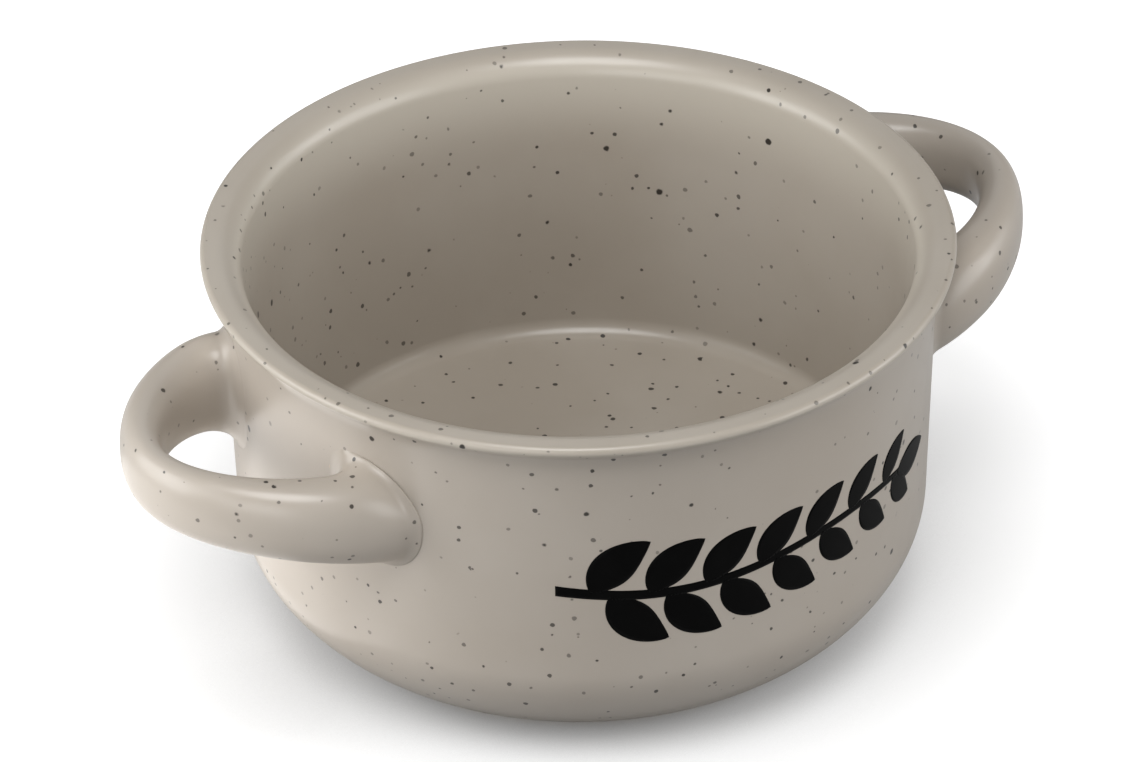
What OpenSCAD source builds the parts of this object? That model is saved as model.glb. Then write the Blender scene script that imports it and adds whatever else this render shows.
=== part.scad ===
// Two-handled soup mug in glazed stoneware.
// The bowl is one turned piece of clay with a flat-topped lip and a bare foot ring. Two loop handles are
// luted to its wall with slip, and a thin glaze covers everything but the foot ring.
// Millimetres. The origin is the middle of the foot on the table, +Z is up, the handles lie along X.

/* [Bowl outside] */
// Height from the table to the top of the lip
mug_height = 70; // [58:0.5:90]
// Diameter over the lip, its widest place
rim_diameter = 130; // [108:0.5:160]
// Radius of the lip's outer edge
lip_radius = 1; // [0.8:0.1:1.5]
// How far the lip stands out past the wall
lip_overhang = 3.1; // [2.2:0.1:4.2]
// Radius of the hollow neck between lip and wall
neck_radius = 5; // [3.5:0.5:8]
// Lean of the wall outward, in degrees
wall_draft = 2.1; // [0:0.1:4]
// Height at which the wall turns into the base
base_curve_height = 20.2; // [16:0.2:25]
// Rise of the curve between foot and wall
base_curve_rise = 27; // [26:0.2:40]

/* [Bowl inside] */
// Thickness of the wall below the mouth
mouth_wall = 4; // [3:0.1:5]
// Radius between the inside wall and the flat top of the lip
mouth_radius = 4.5; // [2:0.1:5]
// Thickness of the wall where it turns into the base
base_wall = 7; // [5:0.1:8.5]
// Radius between the inside wall and the floor
inner_fillet = 3.2; // [2:0.1:8]
// Height of the inside floor above the table
floor_height = 15.6; // [12:0.1:18]

/* [Foot] */
// Outside diameter of the foot ring
foot_diameter = 91; // [74:0.5:108]
// How far the base curve stands out past the foot ring
foot_step = 1.5; // [1.1:0.1:3]
// Width of the foot ring
foot_width = 4.2; // [3:0.1:8]
// Rounding of the two edges that meet the table
foot_round = 0.8; // [0.3:0.1:1.2]
// Height of the bare band of the foot
bare_height = 1.4; // [1.2:0.1:1.5]
// Depth of the hollow inside the foot ring
recess_depth = 4.4; // [2.2:0.1:5.5]
// Radius in the corner of that hollow
recess_fillet = 1.4; // [1:0.1:1.5]

/* [Handles] */
// How far each handle stands out from the wall
handle_reach = 27.6; // [22:0.2:34]
// Angle from the handle's middle line to the middle of each root, in degrees
root_angle = 22.4; // [20:0.1:26]
// Distance from the top of the lip down to the middle of the roots
root_drop = 21.9; // [20:0.1:26]
// Climb of the loop from its roots to its outer end
tip_rise = 4.1; // [0:0.1:6]
// Thickness of the strap at the loop's outer end
tip_thickness = 6.6; // [5:0.1:8]
// Height of the strap at the loop's outer end
tip_strap = 12.6; // [9:0.1:15]
// Thickness of the strap at the roots, without the luted flare
root_thickness = 14.2; // [11:0.1:15]
// Height of the strap at the roots, without the luted flare
root_strap = 17.2; // [13:0.1:19]
// Length over which each limb runs straight out from the wall
root_pull = 10.6; // [8:0.1:12]
// Length over which the outer end runs straight across
tip_pull = 14; // [11:0.1:17]

/* [Luting] */
// Spread of the slip on the finger side of a root
flare_finger = 4; // [2:0.1:4.6]
// Spread of the slip on the outer side of a root
flare_outer = 1.4; // [1:0.1:2.4]
// Spread of the slip above and below a root
flare_edge = 1.6; // [1:0.1:2.4]
// Length of limb that the slip covers
flare_length = 8; // [6:0.1:9.5]
// How far the top of a root leans to the finger side
root_lean = 5.6; // [0:0.1:7]

/* [Glaze] */
// Thickness of the glaze
glaze = 0.4; // [0.3:0.05:0.6]

/* [Hidden] */

$fn = 96;

// Steps in each round stretch of the profile
arc_steps = 12;
// Steps in the base curve
base_steps = 20;
// Stations along half a handle
half_steps = 14;
// Points round the strap
strap_steps = 24;
// How square the strap's section is: 2 is an ellipse
strap_power = 2.35;
// How fast the strap thins from root to outer end
thin_power = 1.5;
// How fast the strap climbs from root to outer end
climb_power = 2;
// How much more the very top of a root leans than its middle
lean_power = 1.3;
// How close the stations crowd toward the root
crowd_power = 1.6;
// Depth to which a handle's loft runs into the wall before it is cut to the wall
root_overrun = 3;

clay_colour = [0.80, 0.74, 0.66];
glaze_colour = [0.69, 0.65, 0.60];
inner_colour = [0.60, 0.56, 0.52];
slip_colour = [0.74, 0.68, 0.60];

// Bowl profile: places in the half plane [radius, height]
rim_radius = rim_diameter / 2;
foot_radius = foot_diameter / 2;
foot_inner = foot_radius - foot_width;

lip_centre = [rim_radius - lip_radius, mug_height - lip_radius];
wall_up = [sin(wall_draft), cos(wall_draft)];
wall_out = [cos(wall_draft), -sin(wall_draft)];
wall_top = [rim_radius - lip_overhang, lip_centre.y];
wall_foot = wall_top - (lip_centre.y - base_curve_height) / wall_up.y * wall_up;

// The neck's circle touches the wall's line and the lip's circle
neck_start = wall_foot + neck_radius * wall_out;
neck_along = (neck_start - lip_centre) * wall_up;
neck_left = (neck_start - lip_centre) * (neck_start - lip_centre) - pow(neck_radius + lip_radius, 2);
neck_centre = neck_start - (neck_along + sqrt(neck_along * neck_along - neck_left)) * wall_up;
lip_seam = atan2(neck_centre.y - lip_centre.y, neck_centre.x - lip_centre.x);

// The lip is flat on top, between the mouth's circle and its own
mouth_centre = [wall_top.x - mouth_wall + mouth_radius, mug_height - mouth_radius];

// The inside wall touches the mouth's circle and the floor's fillet
floor_centre = [wall_foot.x - base_wall - inner_fillet, floor_height + inner_fillet];
inside_run = mouth_centre - floor_centre;
inside_lean = atan2(inside_run.y, inside_run.x) - acos((inner_fillet + mouth_radius) / norm(inside_run));

function arc(centre, radius, from, to, steps) = [
    for (i = [0 : steps])
        let (a = from + (to - from) * i / steps)
        centre + radius * [cos(a), sin(a)]
];

function reversed(list) = [for (i = [len(list) - 1 : -1 : 0]) list[i]];

// Inside of the bowl from the axis to the seam under the lip, at a depth below the glazed surface
function inside_line(depth) = concat(
    [[0, floor_height - depth]],
    arc(floor_centre, inner_fillet + depth, -90, inside_lean, arc_steps),
    arc(mouth_centre, mouth_radius - depth, 180 + inside_lean, 90, arc_steps),
    arc(lip_centre, lip_radius - depth, 90, lip_seam, arc_steps)
);

// Base curve from the wall to the edge above the foot: a quarter of an ellipse, leant over like the wall,
// so that it leaves the wall without a kink
base_drop = base_curve_height - bare_height;
base_edge = foot_radius + foot_step;
base_lean = tan(wall_draft);
base_turn = 1 - sqrt(1 - pow(base_drop / base_curve_rise, 2));
base_curve_reach = (wall_foot.x - base_drop * base_lean - base_edge) / base_turn;

function base_line(depth) =
    let (
        reach = base_curve_reach - depth,
        rise = base_curve_rise - depth,
        start = wall_foot - depth * wall_out,
        finish = asin((start.y - bare_height) / rise)
    )
    [
        for (i = [0 : base_steps])
            let (a = finish * i / base_steps, down = rise * sin(a))
            start - [reach * (1 - cos(a)) + down * base_lean, down]
    ];

// Outside of the bowl from the seam under the lip down to the bare foot
function outside_line(depth) = concat(
    arc(neck_centre, neck_radius + depth, lip_seam + 180, 180 - wall_draft, arc_steps),
    base_line(depth)
);

// Hollow under the base from the bare band of the foot to the axis
function recess_line(depth) =
    let (
        inset = glaze - depth,
        centre = [foot_inner - recess_fillet, recess_depth + glaze - recess_fillet]
    )
    concat(
        [[foot_inner - inset, bare_height]],
        arc(centre, recess_fillet - inset, 0, 90, arc_steps),
        [[0, recess_depth + depth]]
    );

function foot_line() = concat(
    [[foot_radius, bare_height]],
    arc([foot_radius - foot_round, foot_round], foot_round, 0, -90, arc_steps),
    arc([foot_inner + foot_round, foot_round], foot_round, -90, -180, arc_steps)
);

// Radius of the wall at a height, at a depth below the glazed surface
function wall_radius(height, depth) =
    wall_foot.x + (height - base_curve_height) * tan(wall_draft) - depth / cos(wall_draft);

// Handle: the middle line of half a loop, seen from above, on the +X side
root_height = mug_height - root_drop;
tip_height = root_height + tip_rise;
root_wall = wall_radius(root_height, 0);
root_out = [cos(root_angle), sin(root_angle)];
root_point = root_wall * root_out;
tip_point = [root_wall + handle_reach - tip_thickness / 2, 0];
root_guide = root_point + root_pull * root_out;
tip_guide = tip_point + [0, tip_pull];

function curve_point(t) =
    pow(1 - t, 3) * root_point
    + 3 * pow(1 - t, 2) * t * root_guide
    + 3 * (1 - t) * t * t * tip_guide
    + pow(t, 3) * tip_point;

function curve_way(t) =
    let (
        v = pow(1 - t, 2) * (root_guide - root_point)
            + 2 * (1 - t) * t * (tip_guide - root_guide)
            + t * t * (tip_point - tip_guide)
    )
    v / norm(v);

// A station holds its place, its way along the loop, its share of the half loop and its distance from the wall
function loop_station(i) =
    let (t = pow(i / half_steps, crowd_power), p = curve_point(t))
    [p, curve_way(t), t, norm(p - root_point)];

root_station = [root_point, root_out, 0, 0];
stations = [for (i = [1 : half_steps]) loop_station(i)];

// Spread of the slip's fillet: 1 on the clay of the wall, 0 where it ends on the limb
function spread(out) =
    let (left = min(1, max(0, 1 - (out + glaze) / (flare_length + glaze))))
    1 - sqrt(1 - left * left);

// How far a ring of the loft follows the wall: fully at the root, not at all past the flare
function follow(out) = pow(min(1, max(0, 1 - out / (2 * flare_length))), 2);

function signed_power(value, power) = sign(value) * pow(abs(value), power);

// Outline of the strap at a station, as [across, height]: flare 1 takes in the slip, out is the distance
// from the wall at which its spread is taken, and grow is what lies on top of the clay
function outline(station, flare, out, grow) =
    let (
        near = pow(1 - station[2], thin_power),
        thick = tip_thickness / 2 + (root_thickness - tip_thickness) / 2 * near - glaze + grow,
        tall = tip_strap / 2 + (root_strap - tip_strap) / 2 * near - glaze + grow,
        middle = tip_height + (root_height - tip_height) * pow(1 - station[2], climb_power),
        slip = flare * spread(out),
        tip_over = root_lean * spread(out)
    )
    [
        for (i = [0 : strap_steps - 1])
            let (
                a = 360 * i / strap_steps,
                across = signed_power(cos(a), 2 / strap_power),
                up = signed_power(sin(a), 2 / strap_power)
            )
            [
                across * (thick + slip * (across > 0 ? flare_outer : flare_finger))
                    - tip_over * pow(max(0, up), lean_power),
                middle + up * (tall + slip * flare_edge)
            ]
    ];

// The outline stood up at its station, bent to the wall near the root
function ring(station, flare, grow) =
    let (way = station[1], side = [-way.y, way.x], bend = follow(station[3]))
    [
        for (q = outline(station, flare, station[3], grow))
            let (
                sag = root_wall - sqrt(root_wall * root_wall - q.x * q.x),
                lean = (q.y - root_height) * tan(wall_draft),
                p = station[0] + q.x * side + bend * (lean - sag) * way
            )
            [p.x, p.y, q.y]
    ];

// The root's outline laid on the wall, at a depth below its glazed surface
function wall_ring(depth, flare, grow) =
    let (side = [-root_out.y, root_out.x])
    [
        for (q = outline(root_station, flare, -depth, grow))
            let (p = (sqrt(pow(wall_radius(q.y, depth), 2) - q.x * q.x)) * root_out + q.x * side)
            [p.x, p.y, q.y]
    ];

// A ring moved in or out along the root's way
function moved(points, out) = [for (p = points) p + out * [root_out.x, root_out.y, 0]];

// The ring that lies on the straight lines through two rings, past the second one
function beyond(first, second) = [for (i = [0 : strap_steps - 1]) 2 * second[i] - first[i]];

function mirrored(points) = [for (p = points) [p.x, -p.y, p.z]];

// All rings of a loop, from the rear root round the outer end to the front root
function loop_rings(root, flare, grow) =
    let (half = concat(root, [for (s = stations) ring(s, flare, grow)]))
    concat(half, [for (i = [len(half) - 2 : -1 : 0]) mirrored(half[i])]);

// Stations that the slip of one root covers
slip_last = len([for (s = stations) if (s[3] < flare_length) s]);

function band(first, second) = [
    for (i = [0 : strap_steps - 1])
        let (j = (i + 1) % strap_steps)
        each [
            [first * strap_steps + i, second * strap_steps + i, second * strap_steps + j],
            [first * strap_steps + i, second * strap_steps + j, first * strap_steps + j]
        ]
];

function middle_of(points) = [for (i = [0 : 2]) [for (p = points) p[i]] * [for (p = points) 1] / len(points)];

// Solid through a row of rings, closed by a fan at each end
module solid_loft(rings) {
    count = len(rings);
    first_middle = count * strap_steps;
    last_ring = (count - 1) * strap_steps;
    polyhedron(
        points = concat(
            [for (r = rings) each r],
            [middle_of(rings[0]), middle_of(rings[count - 1])]
        ),
        faces = concat(
            [for (k = [0 : count - 2]) each band(k, k + 1)],
            [for (i = [0 : strap_steps - 1]) [first_middle, i, (i + 1) % strap_steps]],
            [
                for (i = [0 : strap_steps - 1])
                    [first_middle + 1, last_ring + (i + 1) % strap_steps, last_ring + i]
            ]
        ),
        convexity = 6
    );
}

// Solid through a closed row of rings: out along its outer side and back along its inner side
module loop_loft(rings) {
    count = len(rings);
    polyhedron(
        points = [for (r = rings) each r],
        faces = [for (k = [0 : count - 1]) each band(k, (k + 1) % count)],
        convexity = 8
    );
}

// Everything inside the wall, down to a depth below the glazed surface
module wall_core(depth) {
    translate([0, 0, base_curve_height])
        cylinder(
            h = neck_centre.y - base_curve_height,
            r1 = wall_radius(base_curve_height, depth),
            r2 = wall_radius(neck_centre.y, depth)
        );
}

module revolved(line) {
    rotate_extrude()
        polygon(line);
}

module at_left() {
    rotate([0, 0, 180])
        children();
}

module handle_clay() {
    foot = wall_ring(0, 0, 0);
    difference() {
        solid_loft(loop_rings([moved(foot, -root_overrun), foot], 0, 0));
        wall_core(glaze);
    }
}

module handle_skin() {
    loop_loft(concat(
        loop_rings([wall_ring(0, 1, glaze)], 1, glaze),
        reversed(loop_rings([wall_ring(0, 1, 0)], 1, 0))
    ));
}

// The slip of the rear root on the +X side
module root_slip() {
    loop_loft(concat(
        [wall_ring(glaze, 1, 0), wall_ring(0, 1, 0)],
        [for (i = [0 : slip_last]) ring(stations[i], 1, 0)],
        [for (i = [slip_last - 1 : -1 : 0]) ring(stations[i], 0, 0)],
        [wall_ring(0, 0, 0), wall_ring(glaze, 0, 0)]
    ));
}

// Handle and slip where they pass through the glaze of the wall, rear root on the +X side
module root_plug() {
    under = wall_ring(glaze, 1, 0);
    over = wall_ring(0, 1, 0);
    solid_loft([beyond(over, under), beyond(under, over)]);
}

module bowl_body() {
    outside = outside_line(glaze);
    color(clay_colour)
        revolved(concat(
            inside_line(glaze),
            [for (i = [1 : len(outside) - 1]) outside[i]],
            foot_line(),
            recess_line(glaze)
        ));
}

module inside_glaze() {
    color(inner_colour)
        revolved(concat(inside_line(0), reversed(inside_line(glaze))));
}

module outside_glaze() {
    color(glaze_colour)
        difference() {
            revolved(concat(outside_line(0), reversed(outside_line(glaze))));
            root_plug();
            mirror([0, 1, 0])
                root_plug();
            mirror([1, 0, 0])
                root_plug();
            at_left()
                root_plug();
        }
}

module base_glaze() {
    color(glaze_colour)
        revolved(concat(recess_line(0), reversed(recess_line(glaze))));
}

module right_handle() {
    color(clay_colour)
        handle_clay();
}

module left_handle() {
    color(clay_colour)
        at_left()
            handle_clay();
}

module right_handle_glaze() {
    color(glaze_colour)
        handle_skin();
}

module left_handle_glaze() {
    color(glaze_colour)
        at_left()
            handle_skin();
}

module right_rear_slip() {
    color(slip_colour)
        root_slip();
}

module right_front_slip() {
    color(slip_colour)
        mirror([0, 1, 0])
            root_slip();
}

module left_rear_slip() {
    color(slip_colour)
        mirror([1, 0, 0])
            root_slip();
}

module left_front_slip() {
    color(slip_colour)
        at_left()
            root_slip();
}

bowl_body();
inside_glaze();
outside_glaze();
base_glaze();
left_handle();
right_handle();
left_handle_glaze();
right_handle_glaze();
left_front_slip();
left_rear_slip();
right_front_slip();
right_rear_slip();
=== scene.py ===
# %% [markdown]
# # A two-handled soup mug in speckled stoneware
#
# The mug is a turned clay bowl with two loop handles luted to its wall. A satin glaze with dark iron
# specks covers everything but the foot ring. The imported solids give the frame: the glaze skins are
# made again here with many more faces and smooth normals, in the same places and sizes.

# %% Load the frame
import math
import bpy
import bmesh
import numpy as np
from mathutils import Matrix, Vector


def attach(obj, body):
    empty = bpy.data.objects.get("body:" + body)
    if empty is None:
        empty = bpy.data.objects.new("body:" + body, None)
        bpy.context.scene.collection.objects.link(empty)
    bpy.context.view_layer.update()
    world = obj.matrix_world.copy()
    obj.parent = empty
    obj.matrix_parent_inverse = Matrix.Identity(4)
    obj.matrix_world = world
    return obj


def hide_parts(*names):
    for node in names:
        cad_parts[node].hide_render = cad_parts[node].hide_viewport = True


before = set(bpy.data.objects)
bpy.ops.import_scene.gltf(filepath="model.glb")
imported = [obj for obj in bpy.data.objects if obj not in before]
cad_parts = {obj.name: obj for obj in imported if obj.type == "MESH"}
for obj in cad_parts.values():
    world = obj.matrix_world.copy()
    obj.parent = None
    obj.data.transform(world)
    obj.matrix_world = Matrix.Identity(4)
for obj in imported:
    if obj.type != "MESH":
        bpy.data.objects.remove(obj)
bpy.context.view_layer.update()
print("nodes:", sorted(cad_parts))

# %% [markdown]
# ## Sizes of the bowl
#
# A potter works from a drawing of the profile with its heights, radii and thicknesses. The finer skins
# could be fitted to the loaded solids, but with the same named sizes they follow the same curves
# exactly. Sizes and points are in millimetres, and become metres when a mesh is made.

# %% Sizes of the bowl
MM = 0.001
MUG_HEIGHT, RIM_RADIUS, LIP_RADIUS, LIP_OVERHANG, NECK_RADIUS = 70.0, 65.0, 1.0, 3.1, 5.0
WALL_DRAFT = math.radians(2.1)
BASE_HEIGHT, BASE_RISE = 20.2, 27.0
MOUTH_WALL, MOUTH_RADIUS, BASE_WALL = 4.0, 4.5, 7.0
INNER_FILLET, FLOOR_HEIGHT = 3.2, 15.6
FOOT_RADIUS, FOOT_STEP, FOOT_WIDTH, BARE_HEIGHT = 45.5, 1.5, 4.2, 1.4
RECESS_DEPTH, RECESS_FILLET = 4.4, 1.4
GLAZE = 0.4
print("bowl:", 2 * RIM_RADIUS, "mm wide,", MUG_HEIGHT, "mm high, glaze", GLAZE, "mm thick")

# %% [markdown]
# ## Camera
#
# The photograph was taken from the front left, looking down by about a third of a right angle, with a
# long lens. A camera could be turned by hand until it looks right. Here its place was worked out from
# the ellipse of the lip, the outline of the wall and the two handles, which stand opposite each other.

# %% Camera
SPIN, TILT, ROLL = math.radians(33.12), math.radians(33.822), math.radians(-0.907)
SENSOR, PHOTO_WIDTH, FOCAL_PIXELS = 36, 1142, 9000
LENS = FOCAL_PIXELS / PHOTO_WIDTH * SENSOR
# The middle of the lip as the camera sees it: to the right, below and ahead.
LIP_IN_VIEW = (1.25, -23.9, 1546.0)

across = Vector((math.cos(SPIN), -math.sin(SPIN), 0))
away = Vector((math.sin(SPIN), math.cos(SPIN), 0))
up = Vector((0, 0, 1))
down = -math.sin(TILT) * away - math.cos(TILT) * up
ahead = math.cos(TILT) * away - math.sin(TILT) * up
right = math.cos(ROLL) * across - math.sin(ROLL) * down
below = math.sin(ROLL) * across + math.cos(ROLL) * down
lip_middle = Vector((0, 0, MUG_HEIGHT - LIP_RADIUS))
eye = lip_middle - (LIP_IN_VIEW[0] * right + LIP_IN_VIEW[1] * below + LIP_IN_VIEW[2] * ahead)

camera_data = bpy.data.cameras.new("camera")
camera_data.sensor_fit = "HORIZONTAL"
camera_data.sensor_width = SENSOR
camera_data.lens = LENS
camera_data.clip_end = 50
camera = bpy.data.objects.new("camera", camera_data)
turn = Matrix((right, -below, -ahead)).transposed().to_4x4()
camera.matrix_world = Matrix.Translation(eye * MM) @ turn
bpy.context.scene.collection.objects.link(camera)
bpy.context.scene.camera = camera
print("camera at", [round(v, 3) for v in eye * MM], "lens", round(LENS, 1))

# %% [markdown]
# ## Mesh helpers
#
# Each skin is a grid of points: a profile turned round the axis, or rings along a handle. Blender's
# Screw modifier or a bevelled curve could make such forms too, but a grid of worked-out points can
# follow the solids to a hundredth of a millimetre. Corners sharper than a set angle stay crisp.

# %% Mesh helpers
WELD = 1e-7
SHARP_CORNER = math.radians(40)
TURN_STEPS = 288


def linked_piece(name, points, faces, material, face_out):
    """A piece from points in millimetres: doubles welded, faces turned outward, shaded smooth."""
    mesh = bpy.data.meshes.new(name)
    mesh.from_pydata((points.reshape(-1, 3) * MM).tolist(), [], faces)
    shape = bmesh.new()
    shape.from_mesh(mesh)
    bmesh.ops.remove_doubles(shape, verts=shape.verts, dist=WELD)
    face_out(shape)
    shape.to_mesh(mesh)
    shape.free()
    mesh.shade_smooth()
    mesh.materials.append(material)
    piece = bpy.data.objects.new(name, mesh)
    bpy.context.scene.collection.objects.link(piece)
    return piece


def closed_face_out(shape):
    bmesh.ops.recalc_face_normals(shape, faces=shape.faces)


def grid_object(name, points, material, round_rows=True):
    rows, ring = points.shape[:2]
    index = np.arange(rows * ring).reshape(rows, ring)
    faces = []
    for i in range(rows if round_rows else rows - 1):
        j = (i + 1) % rows
        for k in range(ring):
            m = (k + 1) % ring
            faces.append(tuple(int(v) for v in (index[i, k], index[j, k], index[j, m], index[i, m])))
    piece = linked_piece(name, points, faces, material, closed_face_out)
    piece.data.set_sharp_from_angle(angle=SHARP_CORNER)
    return piece


def turned(profile):
    angle = np.linspace(0, 2 * np.pi, TURN_STEPS, endpoint=False)
    r, z = np.asarray(profile, float).T
    return np.stack([np.outer(r, np.cos(angle)), np.outer(r, np.sin(angle)),
                     np.repeat(z[:, None], TURN_STEPS, 1)], -1)


def arc(centre, radius, start, end, steps):
    a = np.linspace(start, end, steps + 1)
    return np.stack([centre[0] + radius * np.cos(a), centre[1] + radius * np.sin(a)], 1)


def line(a, b, steps):
    share = np.linspace(0, 1, steps + 1)[:, None]
    return np.asarray(a) + share * (np.asarray(b) - np.asarray(a))


def chain(*runs):
    """Runs of a profile joined end to end, with each shared point kept once."""
    points = [runs[0]]
    for run in runs[1:]:
        points.append(run[1:] if np.allclose(points[-1][-1], run[0], atol=1e-6) else run)
    return np.concatenate(points)


print("a turned skin has", TURN_STEPS, "steps round the axis")

# %% [markdown]
# ## Node helpers
#
# A shader is a tree of nodes joined by links. Each node could be made and linked line by line. These
# helpers make one node with its values and links in a single call, so the recipes below stay short.

# %% Node helpers
def add(tree, kind, inputs=None, **settings):
    node = tree.nodes.new(kind)
    for key, value in settings.items():
        setattr(node, key, value)
    for key, value in (inputs or {}).items():
        socket = node.inputs[key]
        if isinstance(value, bpy.types.NodeSocket):
            tree.links.new(value, socket)
        else:
            socket.default_value = value
    return node


def maths(tree, operation, a, b):
    return add(tree, "ShaderNodeMath", {0: a, 1: b}, operation=operation).outputs[0]


def spread(tree, value, from_range, to_range, curve="LINEAR"):
    """A value carried from one range to another and held at its ends."""
    limits = {"From Min": from_range[0], "From Max": from_range[1],
              "To Min": to_range[0], "To Max": to_range[1]}
    return add(tree, "ShaderNodeMapRange", {"Value": value, **limits}, interpolation_type=curve).outputs[0]


def mix_colour(tree, factor, a, b):
    mix = add(tree, "ShaderNodeMix", data_type="RGBA")
    for socket, value in ((mix.inputs[0], factor), (mix.inputs[6], a), (mix.inputs[7], b)):
        if isinstance(value, bpy.types.NodeSocket):
            tree.links.new(value, socket)
        else:
            socket.default_value = value
    return mix.outputs[2]


def in_millimetres(tree):
    place = add(tree, "ShaderNodeTexCoord").outputs["Object"]
    scale = (1 / MM, 1 / MM, 1 / MM)
    return add(tree, "ShaderNodeVectorMath", {0: place, 1: scale}, operation="MULTIPLY").outputs[0]


def new_group(name, inputs, outputs):
    group = bpy.data.node_groups.new(name, "ShaderNodeTree")
    for label, kind, value in inputs:
        socket = group.interface.new_socket(label, in_out="INPUT", socket_type=kind)
        socket.default_value = value
    for label, kind in outputs:
        group.interface.new_socket(label, in_out="OUTPUT", socket_type=kind)
    return group, group.nodes.new("NodeGroupInput"), group.nodes.new("NodeGroupOutput")


GREIGE, DARK_GREIGE = (0.5, 0.45, 0.4, 1), (0.45, 0.4, 0.36, 1)
print("node helpers ready, groups start from the colours", GREIGE, DARK_GREIGE)

# %% [markdown]
# ## Iron specks
#
# Stoneware gets its specks from grains of iron in the clay that bleed up through the glaze. Dots could
# be scattered over the surface, but they would need a map of it. Here the grains sit in a solid pattern
# of cells, one grain of random size to a cell, and the surface cuts through them, as in real clay.
# Three sizes of grain make one group, which the glaze and the bare clay share.

# %% Iron specks
# The cell, the smallest and largest radius and the soft edge are in millimetres.
COARSE_GRAINS = {"cell": 6.0, "smallest": 0.40, "largest": 0.75, "share": 0.45, "soft": 0.20}
LARGE_GRAINS = {"cell": 2.65, "smallest": 0.27, "largest": 0.52, "share": 0.64, "soft": 0.11}
SMALL_GRAINS = {"cell": 2.4, "smallest": 0.18, "largest": 0.30, "share": 0.12, "soft": 0.10}
BOLD_IRON, FAINT_IRON = (0.028, 0.023, 0.019, 1), (0.085, 0.068, 0.054, 1)
FAINT_SHARE, SHALLOWEST = 0.75, 0.45
WOBBLE_SCALE, WOBBLE_REACH = 1.3, 0.28
SKIN_SCALE, PIT_DEPTH = 0.30, -0.6
SATIN = (0.285, 0.305)


def grain_layer(tree, place, cell, smallest, largest, share, soft):
    """One layer of grains: a share of the cells is filled, each grain with its own radius."""
    cells = add(tree, "ShaderNodeTexVoronoi", {"Vector": place, "Scale": 1 / cell, "Randomness": 1.0},
                voronoi_dimensions="3D", feature="F1")
    random = add(tree, "ShaderNodeSeparateColor", {"Color": cells.outputs["Color"]})
    size = spread(tree, random.outputs[0], (0.0, 1.0), (smallest / cell, largest / cell))
    filled = maths(tree, "LESS_THAN", random.outputs[1], share)
    radius = maths(tree, "MULTIPLY", size, filled)
    inside = maths(tree, "SUBTRACT", radius, cells.outputs["Distance"])
    return spread(tree, inside, (0.0, soft / cell), (0.0, 1.0)), random.outputs[2]


def wobbled(tree, place):
    """The place pushed a little to and fro, so that the grains aren't quite round."""
    noise = add(tree, "ShaderNodeTexNoise", {"Vector": place, "Scale": WOBBLE_SCALE, "Detail": 0.0})
    shift = add(tree, "ShaderNodeVectorMath", {0: noise.outputs["Color"], 1: (0.5, 0.5, 0.5)},
                operation="SUBTRACT").outputs[0]
    shift = add(tree, "ShaderNodeVectorMath", {0: shift, "Scale": WOBBLE_REACH},
                operation="SCALE").outputs[0]
    return add(tree, "ShaderNodeVectorMath", {0: place, 1: shift}, operation="ADD").outputs[0]


def make_speckle_group():
    group, start, end = new_group(
        "iron_specks", [("Ground", "NodeSocketColor", GREIGE)],
        [("Color", "NodeSocketColor"), ("Height", "NodeSocketFloat"), ("Roughness", "NodeSocketFloat")])
    place = in_millimetres(group)
    grain_place = wobbled(group, place)
    coarse, _ = grain_layer(group, grain_place, **COARSE_GRAINS)
    large, depth = grain_layer(group, grain_place, **LARGE_GRAINS)
    small, _ = grain_layer(group, grain_place, **SMALL_GRAINS)

    faint = maths(group, "MULTIPLY", small, FAINT_SHARE)
    colour = mix_colour(group, faint, start.outputs["Ground"], FAINT_IRON)
    bold = maths(group, "MULTIPLY", large, spread(group, depth, (0.0, 1.0), (SHALLOWEST, 1.0)))
    bold = maths(group, "MAXIMUM", bold, coarse)
    group.links.new(mix_colour(group, bold, colour, BOLD_IRON), end.inputs["Color"])

    skin = add(group, "ShaderNodeTexNoise", {"Vector": place, "Scale": SKIN_SCALE, "Detail": 0.0})
    pits = maths(group, "MULTIPLY", bold, PIT_DEPTH)
    group.links.new(maths(group, "ADD", skin.outputs["Fac"], pits), end.inputs["Height"])
    group.links.new(spread(group, skin.outputs["Fac"], (0.3, 0.7), SATIN), end.inputs["Roughness"])
    return group


SPECKS = make_speckle_group()
print("shader group:", SPECKS.name, "with", len(SPECKS.nodes), "nodes")

# %% [markdown]
# ## Slow drift
#
# No fired surface has one even colour: glaze pools and thins, clay burns lighter and darker, a print
# takes more or less ink. One soft noise that blends two near colours gives all three, each with its own
# pair of colours and its own size, so it is a group too.

# %% Slow drift
def make_drift_group():
    group, start, end = new_group(
        "slow_drift",
        [("Light", "NodeSocketColor", GREIGE), ("Dark", "NodeSocketColor", DARK_GREIGE),
         ("Size", "NodeSocketFloat", 40.0)],
        [("Color", "NodeSocketColor")])
    place = add(group, "ShaderNodeTexCoord").outputs["Object"]
    step = maths(group, "DIVIDE", 1 / MM, start.outputs["Size"])
    noise = add(group, "ShaderNodeTexNoise",
                {"Vector": place, "Scale": step, "Detail": 4.0, "Roughness": 0.5})
    factor = spread(group, noise.outputs["Fac"], (0.35, 0.65), (0.0, 1.0))
    group.links.new(mix_colour(group, factor, start.outputs["Light"], start.outputs["Dark"]),
                    end.inputs["Color"])
    return group


DRIFT = make_drift_group()
print("shader group:", DRIFT.name, "with", len(DRIFT.nodes), "nodes")
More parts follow.
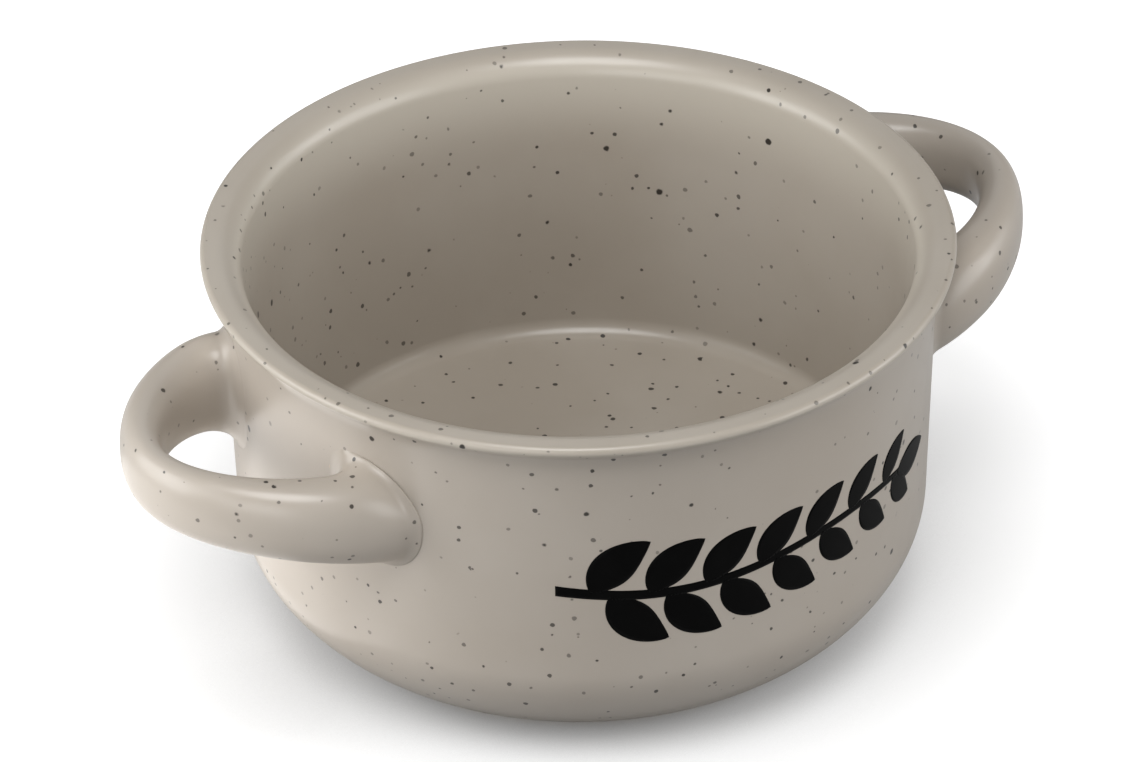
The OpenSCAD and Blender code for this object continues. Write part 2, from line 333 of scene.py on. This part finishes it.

# %% [markdown]
# ## Glaze
#
# The glaze is a warm grey satin, a pale greige that drifts a little, with the specks in it. The inside
# is the same glaze painted a shade darker, which is painted shade for the hollow of the bowl, with a
# paler band painted high under the lip, which is painted light. A gloss coat over the clay would be
# nearer to the real layers, but one satin surface with slight pits at the specks looks the same and
# keeps its colour in the export.

# %% Glaze
GLAZE_DRIFT, GLAZE_IOR = 35, 1.5
GLAZE_BUMP = {"Strength": 0.25, "Distance": 0.00005}


def srgb(r, g, b):
    def linear(c):
        c /= 255
        return c / 12.92 if c <= 0.04045 else ((c + 0.055) / 1.055) ** 2.4
    return (linear(r), linear(g), linear(b), 1.0)


def new_material(name):
    material = bpy.data.materials.new(name)
    material.use_nodes = True
    tree = material.node_tree
    return material, tree, tree.nodes["Principled BSDF"]


# Painted light: the paler colour of a band high on the inside, under the lip.
LIP_BAND_PAINTED_LIGHT = srgb(188, 181, 169)
BAND_RISE, BAND_FALL, BAND_AT_LIP = (0.052, 0.066), (0.0675, 0.0700), 0.15


def drifting(tree, light, dark, size):
    inputs = {"Light": light, "Dark": dark, "Size": size}
    return add(tree, "ShaderNodeGroup", inputs, node_tree=DRIFT).outputs["Color"]


def painted_light_under_lip(tree, colour):
    """A paler band painted high on the inside as painted light, by height in metres."""
    place = add(tree, "ShaderNodeTexCoord").outputs["Object"]
    height = add(tree, "ShaderNodeSeparateXYZ", {0: place}).outputs["Z"]
    rise = spread(tree, height, BAND_RISE, (0.0, 1.0), "SMOOTHSTEP")
    fall = spread(tree, height, BAND_FALL, (1.0, BAND_AT_LIP), "SMOOTHSTEP")
    return mix_colour(tree, maths(tree, "MULTIPLY", rise, fall), colour, LIP_BAND_PAINTED_LIGHT)


def glaze_material(name, light, dark, painted_lip_light=False):
    material, tree, shader = new_material(name)
    ground = drifting(tree, light, dark, GLAZE_DRIFT)
    # Painted light: a paler band under the lip.
    if painted_lip_light:
        ground = painted_light_under_lip(tree, ground)
    specks = add(tree, "ShaderNodeGroup", node_tree=SPECKS)
    tree.links.new(ground, specks.inputs["Ground"])
    tree.links.new(specks.outputs["Color"], shader.inputs["Base Color"])
    tree.links.new(specks.outputs["Roughness"], shader.inputs["Roughness"])
    bump = add(tree, "ShaderNodeBump", {"Height": specks.outputs["Height"], **GLAZE_BUMP})
    tree.links.new(bump.outputs["Normal"], shader.inputs["Normal"])
    shader.inputs["IOR"].default_value = GLAZE_IOR
    return material


OUTSIDE = glaze_material("satin_glaze", srgb(179, 171, 161), srgb(173, 164, 153))
# Painted shade: the inside is the same glaze given a darker colour, with a painted paler band under the lip.
SHADED_INSIDE = glaze_material("satin_glaze_inside_shaded", srgb(174, 166, 155), srgb(167, 158, 146), painted_lip_light=True)
print("glazes:", OUTSIDE.name, SHADED_INSIDE.name)

# %% [markdown]
# ## Bare clay
#
# The foot ring is wiped clean before firing, or the mug would stick to the kiln shelf. There the fired
# clay shows: warm, rough and sandy, with the same iron grains. A fine noise as bump gives the sand.

# %% Bare clay
CLAY_DRIFT, CLAY_ROUGHNESS = 6, 0.88
SAND = {"Scale": 1800.0, "Detail": 4.0, "Roughness": 0.7}
SAND_BUMP = {"Strength": 0.5, "Distance": 0.0002}


def clay_material():
    material, tree, shader = new_material("fired_clay")
    ground = drifting(tree, srgb(214, 196, 170), srgb(196, 174, 146), CLAY_DRIFT)
    specks = add(tree, "ShaderNodeGroup", node_tree=SPECKS)
    tree.links.new(ground, specks.inputs["Ground"])
    tree.links.new(specks.outputs["Color"], shader.inputs["Base Color"])
    place = add(tree, "ShaderNodeTexCoord").outputs["Object"]
    sand = add(tree, "ShaderNodeTexNoise", {"Vector": place, **SAND})
    bump = add(tree, "ShaderNodeBump", {"Height": sand.outputs["Fac"], **SAND_BUMP})
    tree.links.new(bump.outputs["Normal"], shader.inputs["Normal"])
    shader.inputs["Roughness"].default_value = CLAY_ROUGHNESS
    return material


CLAY = clay_material()
print("clay:", CLAY.name)

# %% [markdown]
# ## Black enamel
#
# The print on the front is black enamel, fired onto the glaze at a lower heat. It is more matt than the
# glaze and hides it fully, so it is a dark surface of its own rather than a tint of the glaze.

# %% Black enamel
ENAMEL_DRIFT, ENAMEL_ROUGHNESS, ENAMEL_SPECULAR = 5, 0.42, 0.04


def enamel_material():
    material, tree, shader = new_material("black_enamel")
    colour = drifting(tree, srgb(6, 6, 6), srgb(3, 3, 3), ENAMEL_DRIFT)
    tree.links.new(colour, shader.inputs["Base Color"])
    shader.inputs["Roughness"].default_value = ENAMEL_ROUGHNESS
    shader.inputs["Specular IOR Level"].default_value = ENAMEL_SPECULAR
    return material


ENAMEL = enamel_material()
print("print:", ENAMEL.name)

# %% [markdown]
# ## Bowl profile
#
# The bowl is turned on a wheel or in a mould, so its skin is a profile carried round the axis. It could
# be a few points smoothed by subdivision, but then lip and neck would drift from the solids. So the
# places where the arcs meet the leaning wall are worked out, as on the drawing.

# %% Bowl profile
lip = np.array([RIM_RADIUS - LIP_RADIUS, MUG_HEIGHT - LIP_RADIUS])
wall_up = np.array([math.sin(WALL_DRAFT), math.cos(WALL_DRAFT)])
wall_out = np.array([math.cos(WALL_DRAFT), -math.sin(WALL_DRAFT)])
wall_top = np.array([RIM_RADIUS - LIP_OVERHANG, lip[1]])
wall_foot = wall_top - (lip[1] - BASE_HEIGHT) / wall_up[1] * wall_up
neck_start = wall_foot + NECK_RADIUS * wall_out - lip
neck_along = neck_start @ wall_up
neck = lip + neck_start - (neck_along + math.sqrt(
    neck_along ** 2 - neck_start @ neck_start + (NECK_RADIUS + LIP_RADIUS) ** 2)) * wall_up
lip_seam = math.atan2(neck[1] - lip[1], neck[0] - lip[0])
mouth = np.array([wall_top[0] - MOUTH_WALL + MOUTH_RADIUS, MUG_HEIGHT - MOUTH_RADIUS])
floor_turn = np.array([wall_foot[0] - BASE_WALL - INNER_FILLET, FLOOR_HEIGHT + INNER_FILLET])
inside_run = mouth - floor_turn
inside_lean = math.atan2(inside_run[1], inside_run[0]) - math.acos(
    (INNER_FILLET + MOUTH_RADIUS) / np.hypot(*inside_run))
base_drop = BASE_HEIGHT - BARE_HEIGHT
base_turn = 1 - math.sqrt(1 - (base_drop / BASE_RISE) ** 2)
base_reach = (wall_foot[0] - base_drop * math.tan(WALL_DRAFT) - FOOT_RADIUS - FOOT_STEP) / base_turn


def wall_radius(z):
    return wall_foot[0] + (z - BASE_HEIGHT) * math.tan(WALL_DRAFT)


print("neck arc at", neck.round(2), "wall foot at", wall_foot.round(2))

# %% [markdown]
# ## Bowl skins
#
# Glaze lies on the clay as a layer of even thickness. Each of its three skins is one run of the profile
# at the surface and the same run a glaze thickness deeper, closed to a ring and turned. A Solidify
# modifier would do it too, but not with the same edges as the solids where two skins meet.

# %% Bowl skins
def inside_line(depth):
    fillet = arc(floor_turn, INNER_FILLET + depth, -math.pi / 2, inside_lean, 24)
    opening = arc(mouth, MOUTH_RADIUS - depth, math.pi + inside_lean, math.pi / 2, 24)
    bead = arc(lip, LIP_RADIUS - depth, math.pi / 2, lip_seam, 28)
    return chain(line((0, FLOOR_HEIGHT - depth), fillet[0], 16), fillet,
                 line(fillet[-1], opening[0], 24), opening, line(opening[-1], bead[0], 4), bead)


def outside_line(depth):
    hollow = arc(neck, NECK_RADIUS + depth, lip_seam + math.pi, math.pi - WALL_DRAFT, 20)
    start = wall_foot - depth * wall_out
    rise, reach = BASE_RISE - depth, base_reach - depth
    a = np.linspace(0, math.asin((start[1] - BARE_HEIGHT) / rise), 41)
    inward = reach * (1 - np.cos(a)) + rise * np.sin(a) * math.tan(WALL_DRAFT)
    curve = start - np.stack([inward, rise * np.sin(a)], 1)
    return chain(hollow, line(hollow[-1], start, 30), curve)


def recess_line(depth):
    inset = GLAZE - depth
    foot_inner = FOOT_RADIUS - FOOT_WIDTH
    turn_middle = (foot_inner - RECESS_FILLET, RECESS_DEPTH + GLAZE - RECESS_FILLET)
    corner = arc(turn_middle, RECESS_FILLET - inset, 0, math.pi / 2, 12)
    return chain(line((foot_inner - inset, BARE_HEIGHT), corner[0], 2), corner,
                 line(corner[-1], (0, RECESS_DEPTH + depth), 12))


def bowl_skin(name, run, material):
    closed = np.concatenate([run(0.0), run(GLAZE)[::-1]])
    return grid_object(name, turned(closed), material)


inside_coat = bowl_skin("inside_coat", inside_line, SHADED_INSIDE)
outside_coat = bowl_skin("outside_coat", outside_line, OUTSIDE)
base_coat = bowl_skin("base_coat", recess_line, OUTSIDE)
print("bowl skins:", [len(o.data.polygons) for o in (inside_coat, outside_coat, base_coat)])

# %% [markdown]
# ## Strap of the handles
#
# Each handle is a strap of clay that is thin and tall at its outer end and swells toward the wall, where
# wet slip was smoothed into a flare that is wider on the finger side. Its section is a rounded oblong
# whose size changes along the loop. The top of one root was left a little fuller by hand.

# %% Strap of the handles
HANDLE_REACH, ROOT_ANGLE, ROOT_DROP, TIP_RISE = 27.6, math.radians(22.4), 21.9, 4.1
TIP_THICK, TIP_STRAP, ROOT_THICK, ROOT_STRAP = 6.6, 12.6, 14.2, 17.2
ROOT_PULL, TIP_PULL = 10.6, 14.0
FLARE_FINGER, FLARE_OUTER, FLARE_EDGE, FLARE_LENGTH = 4.0, 1.4, 1.6, 8.0
ROOT_LEAN, LEAN_POWER = 5.6, 1.3
STRAP_POWER, THIN_POWER, CLIMB_POWER = 2.35, 1.5, 2.0
FULLER_ROOT, FULLER_LENGTH = 2.2, 18.0
STRAP_STEPS = 96
ROOT_HEIGHT = MUG_HEIGHT - ROOT_DROP


def flare_spread(out):
    left = min(1.0, max(0.0, 1 - (out + GLAZE) / (FLARE_LENGTH + GLAZE)))
    return 1 - math.sqrt(1 - left * left)


def rounded(wave):
    return np.sign(wave) * np.abs(wave) ** (2 / STRAP_POWER)


def strap_outline(share, out, fuller):
    """The section at a share of the way to the tip and a distance out from the root: aside and height."""
    flared = flare_spread(out)
    near = (1 - share) ** THIN_POWER
    thick = TIP_THICK / 2 + (ROOT_THICK - TIP_THICK) / 2 * near
    tall = TIP_STRAP / 2 + (ROOT_STRAP - TIP_STRAP) / 2 * near
    middle = ROOT_HEIGHT + TIP_RISE * (1 - (1 - share) ** CLIMB_POWER)
    a = np.linspace(0, 2 * np.pi, STRAP_STEPS, endpoint=False)
    side, rise = rounded(np.cos(a)), rounded(np.sin(a))
    flare = np.where(side > 0, FLARE_OUTER, FLARE_FINGER)
    lean = ROOT_LEAN * flared * np.maximum(0, rise) ** LEAN_POWER
    swell = fuller * max(0.0, 1 - out / FULLER_LENGTH) ** 2 * np.maximum(0, rise)
    return side * (thick + flared * flare) - lean, middle + rise * (tall + flared * FLARE_EDGE) + swell


root_section = strap_outline(0.0, 0.0, 0.0)
print("root section:", [round(float(np.ptp(run)), 1) for run in root_section], "mm")

# %% [markdown]
# ## Smoothed roots
#
# Where a handle meets the wall, a finger has drawn the slip out to a small hollow that ends in a low
# round edge under the glaze. A Bevel modifier needs one joined mesh for that. Here every ring near the
# wall is moved out along it by the shape of the hollow, so each skin stays a piece of its own.

# %% Smoothed roots
FILLET, EDGE_HEIGHT, EDGE_RADIUS = 2.0, 0.45, 0.35


def fillet_spread(height):
    left = np.clip(1 - height / FILLET, 0, 1)
    return FILLET * (1 - np.sqrt(1 - left ** 2))


def edge_spread(height):
    """How far the smoothed edge reaches along the wall, by height over it."""
    slope = 1 - EDGE_HEIGHT / FILLET
    middle = EDGE_HEIGHT - EDGE_RADIUS * slope
    start = fillet_spread(EDGE_HEIGHT) - EDGE_RADIUS * math.sqrt(1 - slope ** 2)
    height = np.maximum(height, 0)
    edge = start + np.sqrt(np.maximum(0, EDGE_RADIUS ** 2 - (height - middle) ** 2))
    return np.where(height < EDGE_HEIGHT, edge, fillet_spread(height))


def smoothed(points, off, z):
    """A ring with its points near the wall moved out along the wall."""
    outward = np.stack([np.roll(z, -1) - np.roll(z, 1), np.roll(off, 1) - np.roll(off, -1)], 1)
    outward /= np.linalg.norm(outward, axis=1, keepdims=True)
    angle = np.arctan2(points[:, 1], points[:, 0])
    move = np.stack([-np.sin(angle) * outward[:, 0], np.cos(angle) * outward[:, 0], outward[:, 1]], 1)
    height = np.hypot(points[:, 0], points[:, 1]) - wall_radius(points[:, 2])
    return points + edge_spread(height)[:, None] * move


print("edge on the wall reaches", round(float(edge_spread(0.0)), 2), "mm past the root")

# %% [markdown]
# ## Loops
#
# The strap is bent to a loop and pressed to the round wall at both ends. A curve with a bevel would keep
# one section all along, so the skin is a loft: rings along a smooth curve, closer together near the
# roots, each bent to the wall as it comes near. The rear half is the mirror of the front half.

# %% Loops
ROOT_SINK = 0.25
RING_COUNT, RING_CROWDING = 91, 2.2
ROOT_WALL = wall_radius(ROOT_HEIGHT)
root_out = np.array([math.cos(ROOT_ANGLE), math.sin(ROOT_ANGLE)])
root_point = ROOT_WALL * root_out
tip_point = np.array([ROOT_WALL + HANDLE_REACH - TIP_THICK / 2, 0.0])
guides = (root_point, root_point + ROOT_PULL * root_out, tip_point + [0, TIP_PULL], tip_point)


def wall_ring(sink, fuller):
    off, z = strap_outline(0.0, 0.0, fuller)
    along = np.sqrt((wall_radius(z) - sink) ** 2 - off ** 2)
    p = along[:, None] * root_out + off[:, None] * [-root_out[1], root_out[0]]
    return smoothed(np.column_stack([p, z]), off, z)


def loop_ring(share, fuller):
    p0, p1, p2, p3 = guides
    rest = 1 - share
    centre = (rest ** 3 * p0 + 3 * rest ** 2 * share * p1
              + 3 * rest * share ** 2 * p2 + share ** 3 * p3)
    way = rest ** 2 * (p1 - p0) + 2 * rest * share * (p2 - p1) + share ** 2 * (p3 - p2)
    way = way / np.hypot(*way)
    out = np.hypot(*(centre - root_point))
    off, z = strap_outline(share, out, fuller)
    bend = max(0.0, 1 - out / (2 * FLARE_LENGTH)) ** 2
    sag = ROOT_WALL - np.sqrt(ROOT_WALL ** 2 - off ** 2)
    lean = (z - ROOT_HEIGHT) * math.tan(WALL_DRAFT)
    p = centre + off[:, None] * [-way[1], way[0]] + (bend * (lean - sag))[:, None] * way
    return smoothed(np.column_stack([p, z]), off, z)


def half_loop(fuller):
    shares = np.linspace(0, 1, RING_COUNT)[1:] ** RING_CROWDING
    roots = [wall_ring(ROOT_SINK, fuller), wall_ring(0.0, fuller)]
    return roots + [loop_ring(share, fuller) for share in shares]


def handle_skin(name, side, material, fuller):
    rear = [ring * [1, -1, 1] for ring in half_loop(fuller)[-2::-1]]
    rings = np.array(half_loop(0.0) + rear)
    return grid_object(name, rings * [side, side, 1], material, round_rows=False)


right_coat = handle_skin("right_handle_coat", 1, OUTSIDE, 0.0)
left_coat = handle_skin("left_handle_coat", -1, OUTSIDE, FULLER_ROOT)
print("handle skins:", [len(o.data.polygons) for o in (left_coat, right_coat)])

# %% [markdown]
# ## Leaves of the sprig
#
# The front carries a black print, a plain leaf sprig, which is a traditional border on tableware. It
# could be painted into the glaze's colour, but its edges would then depend on a texture. Leaves and stem
# are grids of points laid on the wall instead, so the print has sharp edges at any distance.

# %% Leaves of the sprig
PRINT_HEIGHT, PRINT_HALF, STEM_WAVE = 38.4, 40.0, 1.6
STEM_END, STEM_STEPS, STEM_ACROSS = PRINT_HALF - 8, 121, 5
STEM_HALF_WIDTHS = (1.05, 0.65)
FILM_HEIGHT = 0.03
LEAF_PAIRS, LEAF_LENGTH, LEAF_WIDTH, LEAF_SHRINK = 7, 14.4, 7.4, 0.05
LEAF_ANGLE, LEAF_BEND, LOWER_LEAF_SHIFT, LEAF_STEM_GAP = math.radians(52), math.radians(34), 3.2, 0.3
LEAF_STEPS, LEAF_ACROSS = 29, 9
LAST_LEAF = {"angle": math.radians(-4), "length": 12.5, "width": 6.2, "bend": 0.12}


def on_wall(s, z):
    angle = -math.pi / 2 + s / wall_radius(PRINT_HEIGHT)
    r = wall_radius(z) + FILM_HEIGHT
    return np.stack([r * np.cos(angle), r * np.sin(angle), z], -1)


def stem_height(s):
    return PRINT_HEIGHT + STEM_WAVE * np.sin(s / PRINT_HALF * math.pi)


def stem():
    s = np.linspace(-PRINT_HALF, STEM_END, STEM_STEPS)
    half_width = np.interp(s, [-PRINT_HALF, STEM_END], STEM_HALF_WIDTHS)
    v = np.linspace(-1, 1, STEM_ACROSS)
    return on_wall(np.repeat(s[:, None], STEM_ACROSS, 1),
                   stem_height(s)[:, None] + half_width[:, None] * v)


def leaf(s, z, angle, length, width, bend):
    """A leaf as a grid: along its rib and across, with a rib that bends."""
    t = np.linspace(0, 1, LEAF_STEPS)
    w = width / 2 * np.sin(math.pi * t ** 0.86) ** 0.82
    heading = angle + bend * (t - 0.25)
    step = length / (LEAF_STEPS - 1)
    rib_s = s + np.concatenate([[0], np.cumsum(np.cos(heading[:-1]) * step)])
    rib_z = z + np.concatenate([[0], np.cumsum(np.sin(heading[:-1]) * step)])
    v = np.linspace(-1, 1, LEAF_ACROSS)
    gs = rib_s[:, None] - np.sin(heading)[:, None] * w[:, None] * v
    gz = rib_z[:, None] + np.cos(heading)[:, None] * w[:, None] * v
    return on_wall(gs, gz)


sheets = [stem()]
for i, base in enumerate(np.linspace(-PRINT_HALF + 6, PRINT_HALF - 14, LEAF_PAIRS)):
    size = 1 - LEAF_SHRINK * i
    for side in (1, -1):
        start_s = base + (0 if side > 0 else LOWER_LEAF_SHIFT)
        start_z = float(stem_height(start_s)) + side * LEAF_STEM_GAP
        sheets.append(leaf(start_s, start_z, side * LEAF_ANGLE, LEAF_LENGTH * size, LEAF_WIDTH * size,
                           -side * LEAF_BEND))
sheets.append(leaf(PRINT_HALF - 9, float(stem_height(PRINT_HALF - 9)), **LAST_LEAF))
print("sprig:", len(sheets) - 1, "leaves on a stem")

# %% [markdown]
# ## Film of the print
#
# A transfer print is a film far thinner than the glaze. All leaves become one piece, with every face
# turned away from the wall, and a Solidify modifier gives the film its thickness, inward to the glaze.

# %% Film of the print
FILM_THICKNESS = 0.05


def wall_face_out(shape):
    for face in shape.faces:
        centre = face.calc_center_median()
        if face.normal.x * centre.x + face.normal.y * centre.y < 0:
            face.normal_flip()


def film_object(name, grids, material):
    faces, first = [], 0
    for grid in grids:
        rows, cols = grid.shape[:2]
        for i in range(rows - 1):
            for k in range(cols - 1):
                a = first + i * cols + k
                faces.append((a, a + cols, a + cols + 1, a + 1))
        first += rows * cols
    points = np.concatenate([grid.reshape(-1, 3) for grid in grids])
    piece = linked_piece(name, points, faces, material, wall_face_out)
    film = piece.modifiers.new("film", "SOLIDIFY")
    film.thickness = FILM_THICKNESS * MM
    film.offset = -1
    return piece


sprig = film_object("printed_sprig", sheets, ENAMEL)
print("print film:", len(sprig.data.polygons), "faces")

# %% [markdown]
# ## Put together
#
# Every skin rides with the one body of the mug and stands for its solid. The clay inside and the bare
# foot keep their solids and get the clay material.

# %% Put together
CLAY_NODES = ("bowl_body", "left_handle", "right_handle", "left_front_slip", "left_rear_slip",
              "right_front_slip", "right_rear_slip")

for piece, node in ((inside_coat, "inside_glaze"), (outside_coat, "outside_glaze"), (base_coat, "base_glaze"),
                    (left_coat, "left_handle_glaze"), (right_coat, "right_handle_glaze")):
    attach(piece, "root")
    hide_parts(node)
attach(sprig, "root")
for name in CLAY_NODES:
    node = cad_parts[name]
    node.data.materials.clear()
    node.data.materials.append(CLAY)
print("clay solids kept:", len(CLAY_NODES))

# %% [markdown]
# ## Floor
#
# The mug stands on a pale sheet that runs out to white. A white floor would throw too much light up at
# the mug, so the sheet that the camera sees is brighter than the one that lights the mug, and it darkens
# close to the foot, where the mug keeps the light away.

# %% Floor
FLOOR_REACH = 6
BOUNCE, PAPER = (0.25, 0.25, 0.25, 1), (0.45, 0.45, 0.45, 1)
PAPER_GLOW, SHADE_DISTANCE, FLOOR_GLOSS = 0.85, 0.055, 0.35


def surround_seen(tree, gloss):
    """Where the white surround is seen: by the camera, through glass, and by a share in the gloss."""
    path = add(tree, "ShaderNodeLightPath")
    glossy = maths(tree, "MULTIPLY", path.outputs["Is Glossy Ray"], gloss)
    seen = maths(tree, "MAXIMUM", path.outputs["Is Camera Ray"], glossy)
    return maths(tree, "MAXIMUM", seen, path.outputs["Is Transmission Ray"])


def floor_material():
    material, tree, shader = new_material("pale_floor")
    tree.nodes.remove(shader)
    bounce = add(tree, "ShaderNodeBsdfDiffuse", {"Color": BOUNCE})
    paper = add(tree, "ShaderNodeBsdfDiffuse", {"Color": PAPER})
    shade = add(tree, "ShaderNodeAmbientOcclusion", {"Distance": SHADE_DISTANCE}, samples=8)
    glow = add(tree, "ShaderNodeEmission", {"Color": shade.outputs["Color"], "Strength": PAPER_GLOW})
    lit = add(tree, "ShaderNodeAddShader", {0: paper.outputs[0], 1: glow.outputs[0]})
    seen = surround_seen(tree, FLOOR_GLOSS)
    both = add(tree, "ShaderNodeMixShader", {0: seen, 1: bounce.outputs[0], 2: lit.outputs[0]})
    tree.links.new(both.outputs[0], tree.nodes["Material Output"].inputs["Surface"])
    return material


floor_mesh = bpy.data.meshes.new("floor")
corners = [(x * FLOOR_REACH, y * FLOOR_REACH, 0) for x, y in ((-1, -1), (1, -1), (1, 1), (-1, 1))]
floor_mesh.from_pydata(corners, [], [(0, 1, 2, 3)])
floor_mesh.materials.append(floor_material())
floor = bpy.data.objects.new("floor", floor_mesh)
bpy.context.scene.collection.objects.link(floor)
print("floor:", 2 * FLOOR_REACH, "m wide")

# %% [markdown]
# ## Lamps
#
# The photograph was lit by soft boxes: the left of the mug is brightest, the top catches a broad light
# and the right is filled weakly. Two small discs stand close by at the left, wide ones farther off at
# the front, the right, above and behind, and a warm card lies on the floor at the left, whose reflection
# brightens the wall under the near handle. The low one behind lights the back and isn't mirrored in the
# lip. Azimuth 0 is the camera's side and 90 is its right.

# %% Lamps
AIM_HEIGHT = 0.035
# Name, azimuth and height in degrees, distance and size in metres, power in watts, seen in the gloss.
LAMPS = (("left_low", -80, 12, 0.45, 0.4, 1.2, True),
         ("left_near", -62, 22, 0.33, 0.25, 0.25, True),
         ("front_low", -20, 11, 1.4, 0.8, 4.0, True),
         ("right_low", 76, 12, 1.4, 1.3, 13.0, True),
         ("top", -8, 66, 1.4, 0.85, 12.8, True),
         ("right_far", 105, 12, 1.4, 0.8, 2.4, True),
         ("back", 180, 34, 1.4, 0.8, 0.7, True),
         ("back_low", 176, 4, 1.4, 0.5, 2.5, False))
CARD_AZIMUTH, CARD_DISTANCE, CARD_LIFT, CARD_SIZE, CARD_POWER = -72, 0.135, 0.001, 0.15, 0.062
CARD_COLOUR = (1.0, 0.96, 0.92)


def toward(azimuth, height):
    a, e = math.radians(azimuth), math.radians(height)
    return math.cos(e) * (math.sin(a) * across - math.cos(a) * away) + math.sin(e) * up


def disc_lamp(name, place, rotation, size, power):
    data = bpy.data.lights.new(name, "AREA")
    data.shape = "DISK"
    data.size = size
    data.energy = power
    lamp = bpy.data.objects.new(name, data)
    lamp.location = place
    lamp.rotation_euler = rotation
    lamp.visible_camera = False
    bpy.context.scene.collection.objects.link(lamp)
    return lamp


for name, azimuth, height, distance, size, power, mirrored in LAMPS:
    way = toward(azimuth, height)
    place = Vector((0, 0, AIM_HEIGHT)) + distance * way
    lamp = disc_lamp(name, place, way.to_track_quat("Z", "Y").to_euler(), size, power)
    lamp.visible_glossy = mirrored
card = disc_lamp("left_card", CARD_DISTANCE * toward(CARD_AZIMUTH, 0) + CARD_LIFT * up, (math.pi, 0, 0),
                 CARD_SIZE, CARD_POWER)
card.data.color = CARD_COLOUR
print("lamps:", [lamp[0] for lamp in LAMPS], "and", card.name)

# %% [markdown]
# ## Surround
#
# Behind the floor everything is white. A white world would wash out the soft shading of the lamps, so
# the world is white where it is seen and gives only a trace of light to the mug.

# %% Surround
WORLD_LIGHT, WORLD_GLOSS = 0.03, 0.08
WHITE = (1, 1, 1, 1)

world = bpy.data.worlds.new("studio")
world.use_nodes = True
tree = world.node_tree
background = tree.nodes["Background"]
background.inputs["Color"].default_value = WHITE
background.inputs["Strength"].default_value = WORLD_LIGHT
white = add(tree, "ShaderNodeBackground", {"Color": WHITE, "Strength": 1.0})
choose = add(tree, "ShaderNodeMixShader", {0: surround_seen(tree, WORLD_GLOSS), 1: background.outputs[0],
                                           2: white.outputs[0]})
tree.links.new(choose.outputs[0], tree.nodes["World Output"].inputs["Surface"])
bpy.context.scene.world = world
bpy.context.scene.view_settings.view_transform = "Standard"
print("world:", world.name, "light", WORLD_LIGHT)
